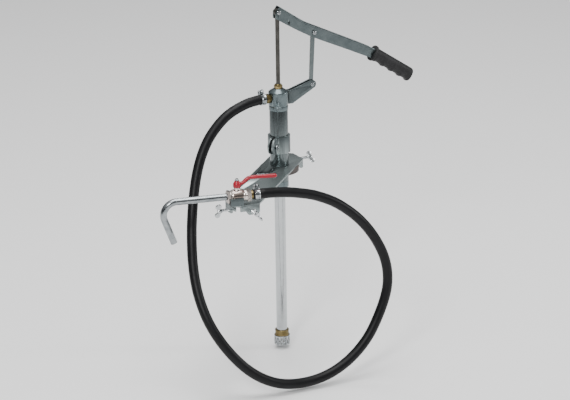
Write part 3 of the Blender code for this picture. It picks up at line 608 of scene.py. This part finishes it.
def link_parts():
    rivet("rod_rivet", "rod_pin", 0.0030, 0.0080, 0.0042, LEVER)
    rivet("link_rivet", "link_pin", 0.0032, 0.0080, 0.0042, LEVER @ at(*LINK_PLACE, 0))
    fulcrum = at(*FULCRUM) @ turn(90, 'X')
    rivet("fulcrum_rivet", "fulcrum_pin", 0.0030, 0.0062, 0.0042, fulcrum)
    rise, run = LINK_PIN.z - FULCRUM.z, LINK_PIN.x - FULCRUM.x
    length, lean = hypot(rise, run), asin(run / hypot(rise, run))
    strap_frame = fulcrum @ turn(-degrees(lean), 'Z')
    half, slot = 0.0044, 0.0064
    strap = arc((0, 0), 0.0058, 230, 310, 12) + [(half, length - 0.004), (-half, length - 0.004)]
    link = prism("link_strap", strap, -0.0020, 0.0020, strap_frame)
    head = arc((slot, length), 0.0073, -90, 90, 20) + arc((-slot, length), 0.0073, 90, 270, 20)
    window = arc((slot, length), 0.0051, -90, 90, 20) + arc((-slot, length), 0.0051, 90, 270, 20)
    join(link, prism("link_top", head, -0.0020, 0.0020, strap_frame),
         rod("link_foot", 0.0060, -0.0020, 0.0020, strap_frame, 48))
    cut(link, prism("link_slot", window, -0.004, 0.004, strap_frame),
        rod("link_hole", 0.0033, -0.004, 0.004, strap_frame, 40))
    finish(softened(link, 0.0005), "lever_link").data.materials[0] = MATERIALS["drawn_steel"]
    arm_frame = PUMP @ turn(90, 'X')
    out, up = FULCRUM.x - BARREL.x, FULCRUM.z
    side = [(0.0203, 0.1280), (0.0290, 0.1275)] + arc((out, up), 0.0088, -52, 112, 24)
    side += [(0.0262, 0.1560), (0.0203, 0.1555)]
    arm = prism("arm_bracket", side, -0.0062, 0.0062, arm_frame)
    cut(arm, block("arm_gap", (0.0235, 0.1100, -0.0035), (0.1000, 0.1900, 0.0035), arm_frame),
        rod("arm_hole", 0.0033, -0.010, 0.010, arm_frame @ at(out, up, 0), 40))
    softened(arm, 0.0006, 3)
    bead = [weld_bead(f"arm_weld_{k}", [Vector((0.0212, z, y)) for z in
                                        (0.1290, 0.1350, 0.1420, 0.1490, 0.1545)], 0.0010,
                      arm_frame) for k, y in (("near", 0.0058), ("far", -0.0058))]
    join(arm, *bead)
    finish(arm, "fulcrum_arm")


def weld_bead(name, points, radius, where):
    """A lumpy rounded bead laid along a line of points."""
    bm = bmesh.new()
    line = []
    for first, last in zip(points, points[1:]):
        line += [first.lerp(last, i / 6) for i in range(6)]
    line.append(points[-1])
    rings = []
    for i, point in enumerate(line):
        tangent = (line[min(i + 1, len(line) - 1)] - line[max(i - 1, 0)]).normalized()
        side = tangent.orthogonal().normalized()
        other = tangent.cross(side)
        end = min(i, len(line) - 1 - i)
        swell = (0.45 if end == 0 else 1.0) * (1 + 0.14 * sin(2.1 * i) + 0.06 * sin(5.3 * i))
        rings.append([point + radius * swell * (cos(2 * pi * k / 12) * side
                                                + sin(2 * pi * k / 12) * other)
                      for k in range(12)])
    skin(bm, rings)
    return place(name, bm, where, 60)


# ---------------------------------------------------------------- spout, valve and handle
def spout():
    bend, start, step = 0.0260, -0.1185, -0.0212
    path = [Vector((-0.0156, 0, 0)), Vector((step, 0, 0)), Vector((step - 0.0008, 0, 0)),
            Vector((start + 0.004, 0, 0))]
    path += [Vector((start + x, 0, z)) for x, z in arc((0, -bend), bend, 92, 200, 40)]
    leg = Vector((0.342, 0, -0.940)) * 0.0506
    path += [path[-1] + leg * 0.5, path[-1] + leg]
    radii = [0.00575, 0.00575] + [0.0066] * (len(path) - 2)
    across = Vector((0, 1, 0))
    outer = pipe_rings(path, radii, 48, across)
    inner = pipe_rings(path, [radius - 0.0012 for radius in radii], 48, across)
    bm = bmesh.new()
    skin(bm, outer + list(reversed(inner)), closed=True)
    tube = place("spout_tube", bm, NOZZLE, 50)
    finish(softened(tube, 0.0002, 2, 50), "spout")


def valve():
    line = NOZZLE @ ALONG_X
    body = turned("valve_shell", [(0.0115, 0.0188), (0.0105, 0.0172), (0.0105, 0.0140),
                                  (0.0125, 0.0118), (0.0133, 0.0080), (0.0134, 0.0000),
                                  (0.0131, -0.0080), (0.0122, -0.0112), (0.0112, -0.0128),
                                  (0.0100, -0.0130), (0.0100, 0.0102), (0.0065, 0.0102),
                                  (0.0065, 0.0188)], line)
    join(body, hex_block("valve_nut", 0.0225, 0.0184, 0.0262, line),
         turned("valve_boss", [(0, 0.0100), (0.0075, 0.0100), (0.0068, 0.0138), (0.0062, 0.0146),
                               (0.0062, 0.0170), (0, 0.0170)], NOZZLE))
    cut(body, rod("valve_way", 0.0065, 0.0050, 0.0300, line),
        rod("stem_way", 0.0035, 0.0050, 0.0200, NOZZLE))
    finish(softened(body, 0.0004), "valve_body")
    cap = turned("valve_cap", [(0.0110, -0.0133), (0.0110, -0.0150), (0.0065, -0.0150),
                               (0.0065, -0.0102), (0.0097, -0.0102), (0.0097, -0.0133)], line)
    join(cap, cut(hex_block("cap_nut", 0.0225, -0.0205, -0.0145, line),
                  rod("cap_way", 0.0065, -0.03, 0, line)))
    finish(softened(cap, 0.0003), "valve_end_cap")
    tail = turned("hose_tail", [(0.0080, 0.0308), (0.0085, 0.0304), (0.0085, 0.0270),
                                (0.0081, 0.0266), (0.0062, 0.0265), (0.0062, 0.0215),
                                (0.0045, 0.0215), (0.0045, 0.0308)], line)
    finish(tail, "valve_hose_tail")


def handle():
    """Dipped sleeve on a pressed handle: skirted hub, rise and straight arm with a round end."""
    hub = turned("red_handle", [(0, 0.0176), (0.0068, 0.0176), (0.0074, 0.0182), (0.0077, 0.0200),
                                (0.0077, 0.0232), (0.0073, 0.0252), (0.0063, 0.0270),
                                (0.0053, 0.0282), (0.0048, 0.0298), (0.0042, 0.0300),
                                (0, 0.0300)], NOZZLE)
    knots = [(0.0000, 0.0244), (0.0090, 0.0249), (0.0130, 0.0266), (0.0185, 0.0316),
             (0.0235, 0.0343), (0.0300, 0.0350), (0.0500, 0.0345), (0.0700, 0.0339),
             (0.0760, 0.0338)]
    points = [Vector((x, 0, z)) for x, z in knots]
    path = []
    for i in range(len(points) - 1):
        before = points[max(i - 1, 0)]
        after = points[min(i + 2, len(points) - 1)]
        path += interpolate_bezier(points[i], points[i] + (points[i + 1] - before) / 6,
                                   points[i + 1] - (after - points[i]) / 6, points[i + 1], 7)[:-1]
    sizes = [0.0036 + 0.0005 * min(1.0, i / len(path) * 1.3) for i in range(len(path))]
    for i in range(1, 8):
        bend = radians(88 * i / 7)
        path.append(Vector((0.0753 + 0.0037 * sin(bend), 0, 0.0338)))
        sizes.append(0.0041 * cos(bend))
    bm = bmesh.new()
    skin(bm, pipe_rings(path, sizes, 32, Vector((0, 1, 0)), flat=0.92))
    join(hub, place("handle_arm", bm, NOZZLE, 60))
    cut(hub, rod("handle_bore", 0.0034, 0.0200, 0.0320, NOZZLE),
        rod("handle_skirt", 0.0063, 0.0160, 0.0206, NOZZLE))
    softened(hub, 0.0006, 3, 28)
    hub.data.set_sharp_from_angle(angle=radians(70))
    finish(hub, "valve_handle")
    nut = cut(hex_block("handle_lock_nut", 0.0070, 0.0303, 0.0332, NOZZLE, 0.0005),
              rod("nut_bore", 0.0032, 0.02, 0.04, NOZZLE))
    finish(nut, "handle_nut")


# ---------------------------------------------------------------- pump head, barrel, clamp
def pump_column():
    neck, bore, outer, sleeve = 0.0169, 0.0155, 0.0185, 0.1180
    brim = sleeve - 0.0003
    barrel = softened(turned("barrel_tube", [(outer, brim), (outer, -0.0300), (bore, -0.0300),
                                           (bore, 0.1280), (neck, 0.1280), (neck, brim)],
                             PUMP, 96), 0.0003)
    finish(barrel, "pump_barrel").data.materials[0] = MATERIALS["drawn_steel"]
    head = turned("head_casting", [(0.0082, 0.1622), (0.0104, 0.1620), (0.0110, 0.1614),
                                   (0.0192, 0.1562), (0.0199, 0.1552), (0.0200, 0.1540),
                                   (0.0200, 0.1302), (0.0197, 0.1296), (0.0186, 0.1290),
                                   (0.0184, 0.1284), (0.0184, 0.1274), (0.0188, 0.1268),
                                   (0.0193, 0.1264), (0.0193, sleeve + 0.0003), (0.0190, sleeve),
                                   (0.0172, sleeve), (0.0172, 0.1283), (bore, 0.1283),
                                   (bore, 0.1480), (0.0048, 0.1500), (0.0048, 0.1545),
                                   (0.0068, 0.1545), (0.0068, 0.1622)], PUMP, 96)
    cut(head, rod("port_bore", 0.0085, 0.010, 0.025, PORT))
    finish(softened(head, 0.0003), "pump_head")
    gland = hex_block("gland_screw", 0.0150, 0.1625, 0.1692, PUMP, 0.0009)
    join(gland, turned("gland_dome", [(0, 0.1680), (0.0074, 0.1680), (0.0073, 0.1694),
                                      (0.0068, 0.1708), (0.0060, 0.1712), (0, 0.1712)], PUMP))
    cut(gland, rod("gland_bore", 0.0047, 0.15, 0.18, PUMP))
    finish(softened(gland, 0.0003), "gland_nut")
    fitting = join(hex_block("outlet_union", 0.0170, 0.0203, 0.0288, PORT),
                   rod("union_stem", 0.0082, 0.0165, 0.0290, PORT))
    cut(fitting, rod("union_bore", 0.0055, 0.01, 0.04, PORT))
    finish(softened(fitting, 0.0003), "outlet_fitting")


def clamp():
    """Socket tube welded on the plate, and above it the collar with its ears and bolt."""
    inner, foot, low, high = 0.0188, 0.0033, 0.0310, 0.0660
    slit, ear_r, ear_centre, thick = 0.0060, 0.0166, 0.0246, 0.0030
    yaw = PUMP @ turn(36.5, 'Z')
    socket = turned("socket_pipe", [(0.0222, low - 0.0012), (0.0222, foot + 0.003),
                                    (0.0226, foot + 0.0012), (0.0236, foot), (inner, foot),
                                    (inner, low - 0.0012)], PUMP, 96)
    cut(socket, block("socket_slit", (-0.030, -slit / 2, foot + 0.004),
                      (-0.010, slit / 2, low + 0.002), yaw))
    softened(socket, 0.0003)
    for i, (first, last) in enumerate(((-8, 12), (30, 50), (-150, -118), (120, 150))):
        bead = [Vector((0.0232 * cos(radians(a)), 0.0232 * sin(radians(a)), foot + 0.0011))
                for a in (first + (last - first) * k / 5 - 90 for k in range(6))]
        join(socket, weld_bead(f"socket_weld_{i}", bead, 0.0009, PUMP))
    finish(socket, "socket_tube")
    collar = turned("collar_ring", [(0.0226, high), (0.0226, low), (inner, low),
                                    (inner, high)], PUMP, 96)
    cut(collar, block("collar_slit", (-0.030, -slit / 2, low - 0.002),
                      (-0.010, slit / 2, high + 0.002), yaw))
    mid = (low + high) / 2
    upright = yaw @ turn(90, 'X')
    outline = [(-0.0202, mid + ear_r), (-0.0202, mid - ear_r)]
    outline += list(reversed(arc((-ear_centre, mid), ear_r, 90, 270, 36)))
    near = slit / 2 - 0.0003
    ears = [prism("ear_a", outline, -near - thick, -near, upright),
            prism("ear_b", outline, near, near + thick, upright)]
    join(collar, *ears)
    for side in (1, -1):
        gusset = [(-0.0216, side * (near + thick - 0.0008)), (-0.0262, side * (near + thick - 0.0008)),
                  (-0.0240, side * (near + thick + 0.0006)), (-0.0222, side * (near + thick + 0.0018)),
                  (-0.0208, side * (near + thick + 0.0042)), (-0.0196, side * (near + thick + 0.0042))]
        if side < 0:
            gusset.reverse()
        join(collar, prism(f"gusset_{side}", gusset, mid - 0.0150, mid + 0.0150, yaw))
    line = yaw @ at(-0.0265, 0, mid - 0.0010) @ turn(-90, 'X')
    face = near + thick + 0.0003
    cut(collar, rod("ear_bore", 0.0027, -0.012, 0.012, line, 40),
        rod("head_room", 0.0052, -0.012, -face - 0.0001, line, 48),
        rod("nut_room", 0.0052, face + 0.0001, 0.012, line, 48))
    finish(softened(collar, 0.0005, 3, 40), "clamp_collar")
    bolt = turned("ear_bolt", [(0, -face - 0.0010), (0.0023, -face - 0.0010)]
                  + thread(0.0024, -face, face + 0.0058, 0.0008, 0.0003)
                  + [(0.0018, face + 0.0062), (0, face + 0.0062)], line, 32)
    head = hex_block("bolt_hexagon", 0.0080, -face - 0.0036, -face, line, 0.0006)
    cut(head, rod("head_dish", 0.0026, -face - 0.0050, -face - 0.0030, line, 32))
    join(bolt, head)
    finish(bolt, "collar_bolt")
    nut = cut(hex_block("ear_nut", 0.0080, face, face + 0.0040, line, 0.0006),
              rod("ear_nut_bore", 0.0025, -0.02, 0.02, line, 32))
    finish(nut, "collar_nut")


WING_TURN = {"near_left": -14, "near_right": -57, "far_right": -54, "far_left": 20}
OUTWARD = {"near_left": turn(-90, 'Y'), "near_right": turn(90, 'X'),
           "far_right": turn(90, 'Y'), "far_left": turn(-90, 'X')}
FLANGE = 0.1252


def wing_frame(name):
    tip = middle(f"pressure_tip_{name}")
    spot = tip.copy()
    across = 1 if name in ("near_right", "far_left") else 0
    spot[across] = FLANGE if tip[across] > 0 else -FLANGE
    return at(*spot) @ OUTWARD[name]


def wing_screws():
    """Cast wing screws: threaded shank, tapered hub and two thumb lobes with thick rims."""
    for name in OUTWARD:
        where = wing_frame(name) @ turn(WING_TURN[name], 'Z')
        reach = 0.0240 if name.startswith("near") else 0.0330
        foot, crown = reach - 0.0072, reach + 0.0012
        low = -0.0034
        screw = turned(f"screw_{name}", [(0, low), (0.0023, low)]
                       + thread(0.0030, low + 0.0006, foot - 0.0010, 0.0010, 0.0004)
                       + [(0.0030, foot), (0.0044, foot + 0.0004), (0.0048, foot + 0.0012),
                          (0.0045, crown - 0.0012), (0.0038, crown - 0.0002), (0, crown)], where, 40)
        size = 0.0060 if name.startswith("near") else 0.0052
        for side in (0, 180):
            stand = where @ turn(side, 'Z') @ turn(90, 'X')
            web = [(0.0020, foot + 0.0006), (0.0050, reach - size + 0.0008),
                   (0.0092, reach - size + 0.0002), (0.0092, reach + size - 0.0014),
                   (0.0056, reach + 0.0026), (0.0020, crown - 0.0004)]
            lobe = join(prism(f"web_{name}_{side}", web, -0.0012, 0.0012, stand),
                        turned(f"lobe_{name}_{side}",
                               [(0, -0.0012), (size - 0.0020, -0.0013), (size - 0.0007, -0.0017),
                                (size - 0.0001, -0.0012), (size, 0.0), (size - 0.0001, 0.0012),
                                (size - 0.0007, 0.0017), (size - 0.0020, 0.0013), (0, 0.0012)],
                               stand @ at(0.0092, reach, 0), 48))
            join(screw, lobe)
        softened(screw, 0.0003, 2, 50)
        finish(screw, f"wing_screw_{name}")


def clamp_plate():
    """Sheet plate with bent-down flanges, rounded edges and spot welds, and the pressure tips."""
    half_width, thick, nip = 0.0350, 0.0030, 0.0060
    tip = FLANGE * 2 ** 0.5
    shoulder = tip - half_width
    outline = [(-tip + nip, -nip), (-shoulder, -half_width), (shoulder, -half_width),
               (tip - nip, -nip), (tip - nip, nip), (shoulder, half_width),
               (-shoulder, half_width), (-tip + nip, nip)]
    plate = prism("plate_sheet", outline, 0, thick, DIAGONAL)
    end, corner = -FLANGE + 2 ** 0.5 * half_width, -FLANGE + 2 ** 0.5 * nip
    flange = [(corner, 0.0015), (corner, -0.0090), (end - 0.0310, -0.0096),
              (end - 0.0280, -0.0112), (end - 0.0255, -0.0160), (end - 0.0230, -0.0180),
              (end - 0.0050, -0.0180), (end - 0.0020, -0.0168), (end, -0.0140), (end, 0.0015)]
    upright = Matrix(((0, 0, 1, -FLANGE), (1, 0, 0, 0), (0, 1, 0, 0), (0, 0, 0, 1)))
    swap = Matrix(((0, 1, 0, 0), (1, 0, 0, 0), (0, 0, 1, 0), (0, 0, 0, 1)))
    for i, where in enumerate((upright, turn(180, 'Z') @ upright, swap @ upright,
                               turn(180, 'Z') @ swap @ upright)):
        piece = prism(f"flange_{i}", flange, 0, 0.0030, WORLD)
        piece.data.transform(where)
        if where.determinant() < 0:
            piece.data.flip_normals()
        join(plate, piece)
    cut(plate, rod("pump_hole", 0.0188, -0.002, 0.005, PUMP, 96),
        rod("bung_dish", 0.0410, -0.005, 0.0006, PUMP, 96))
    for name in OUTWARD:
        cut(plate, rod(f"hole_{name}", 0.0033, -0.010, 0.002, wing_frame(name), 32))
    softened(plate, 0.0009, 3)
    for i, (x, y) in enumerate(((0.0026, 0.0370), (0.0209, 0.0264), (0.0407, 0.0443))):
        dome = turned(f"spot_{i}", [(0, 0.0026), (0.0017, 0.0028), (0.0019, 0.0031),
                                    (0.0013, 0.0035), (0.0006, 0.0037), (0, 0.0037)],
                      at(x, y, 0), 24)
        join(plate, dome)
    finish(plate, "clamp_plate")
    for name in OUTWARD:
        tip_piece = turned(f"tip_{name}", [(0, -0.0059), (0.0020, -0.0059), (0.0024, -0.0055),
                                           (0.0024, -0.0039), (0.0021, -0.0037), (0, -0.0037)],
                           wing_frame(name), 32)
        finish(tip_piece, f"pressure_tip_{name}")


def cradle():
    """Sheet saddle under the valve with rounded corners, and its two round-head screws."""
    low, half, wall = 0.0033 - BALL.z, 0.0165, 0.0018
    outline = [(-half, 0.0)] + arc((-half + 0.004, low + 0.004), 0.004, 180, 270, 8)
    outline += arc((half - 0.004, low + 0.004), 0.004, 270, 360, 8) + [(half, 0.0)]
    outline += [(half - wall, 0.0)]
    outline += arc((half - 0.004, low + 0.004), 0.0022, 360, 270, 8)
    outline += arc((-half + 0.004, low + 0.004), 0.0022, 270, 180, 8) + [(-half + wall, 0.0)]
    stand = NOZZLE @ ALONG_X @ turn(90, 'Z')
    body = prism("saddle", outline, -0.0160, 0.0100, stand)
    for i, x in enumerate((-0.0120, 0.0065)):
        line = NOZZLE @ at(x, 0, low)
        cut(body, rod(f"saddle_hole_{i}", 0.0023, -0.001, 0.004, line, 24))
        top = line @ at(0, 0, wall + 0.0003)
        screw = turned(f"saddle_screw_{i}", [(0, -wall - 0.0003), (0.0020, -wall - 0.0003),
                                             (0.0020, 0), (0.0036, 0), (0.0036, 0.0004),
                                             (0.0030, 0.0010), (0.0018, 0.0014), (0, 0.0014)],
                       top, 32)
        cut(screw, block(f"driver_{i}", (-0.004, -0.0004, 0.0008), (0.004, 0.0004, 0.002), top))
        finish(screw, f"cradle_rivet_{i + 1}")
    finish(softened(body, 0.0004), "nozzle_cradle")


def below():
    """Bung, reducer, suction tube and foot valve."""
    finish(turned("bung", [(0.0376, 0.0003), (0.0388, -0.0002), (0.0394, -0.0010),
                           (0.0392, -0.0040), (0.0389, -0.0085), (0.0384, -0.0096),
                           (0.0376, -0.0100), (0.0188, -0.0100), (0.0188, 0.0003)], PUMP, 96),
           "neck_bung")
    low = -0.0303
    finish(turned("reducer", [(0.0185, low), (0.0185, low - 0.0110), (0.0180, low - 0.0122),
                              (0.0146, low - 0.0145), (0.0140, low - 0.0152),
                              (0.0140, low - 0.0314), (0.0134, low - 0.0320),
                              (0.0113, low - 0.0320), (0.0113, low - 0.0160),
                              (0.0080, low - 0.0160), (0.0080, low + 0.0100),
                              (0.0152, low + 0.0100), (0.0152, low)], PUMP, 72), "barrel_reducer")
    finish(turned("suction_pipe", [(0.0110, low - 0.0163), (0.0110, -0.3580), (0.0095, -0.3580),
                                   (0.0095, low - 0.0163)], PUMP, 72), "suction_tube")
    seat = -0.3745
    body = turned("foot_valve", [(0.0137, -0.3520), (0.0145, -0.3528), (0.0145, -0.3540),
                                 (0.0140, -0.3546), (0.0140, -0.3600), (0.0145, -0.3606),
                                 (0.0145, -0.3780), (0.0050, -0.3780), (0.0050, seat),
                                 (0.0090, seat + 0.0045), (0.0090, -0.3583), (0.0113, -0.3583),
                                 (0.0113, -0.3520)], PUMP, 72)
    finish(body, "foot_valve_body")
    strainer = turned("foot_screen", [(0.0161, -0.3642), (0.0161, -0.3834), (0.0156, -0.3838),
                                      (0.0040, -0.3838), (0.0040, -0.3828), (0.0149, -0.3828),
                                      (0.0149, -0.3640), (0.0159, -0.3640)], PUMP, 72)
    for row, z in enumerate((-0.3690, -0.3740, -0.3790)):
        for k in range(12):
            cut(strainer, rod(f"hole_{row}_{k}", 0.0011, 0.0140, 0.0175,
                              PUMP @ turn(30 * k + 15 * (row % 2), 'Z') @ at(0, 0, z) @ ALONG_X, 12))
    finish(strainer, "foot_strainer")


def main():
    camera()
    studio()
    dress_nodes()
    hose()
    lever_channel()
    lever_grip()
    link_parts()
    spout()
    valve()
    handle()
    pump_column()
    clamp()
    wing_screws()
    clamp_plate()
    cradle()
    below()


main()
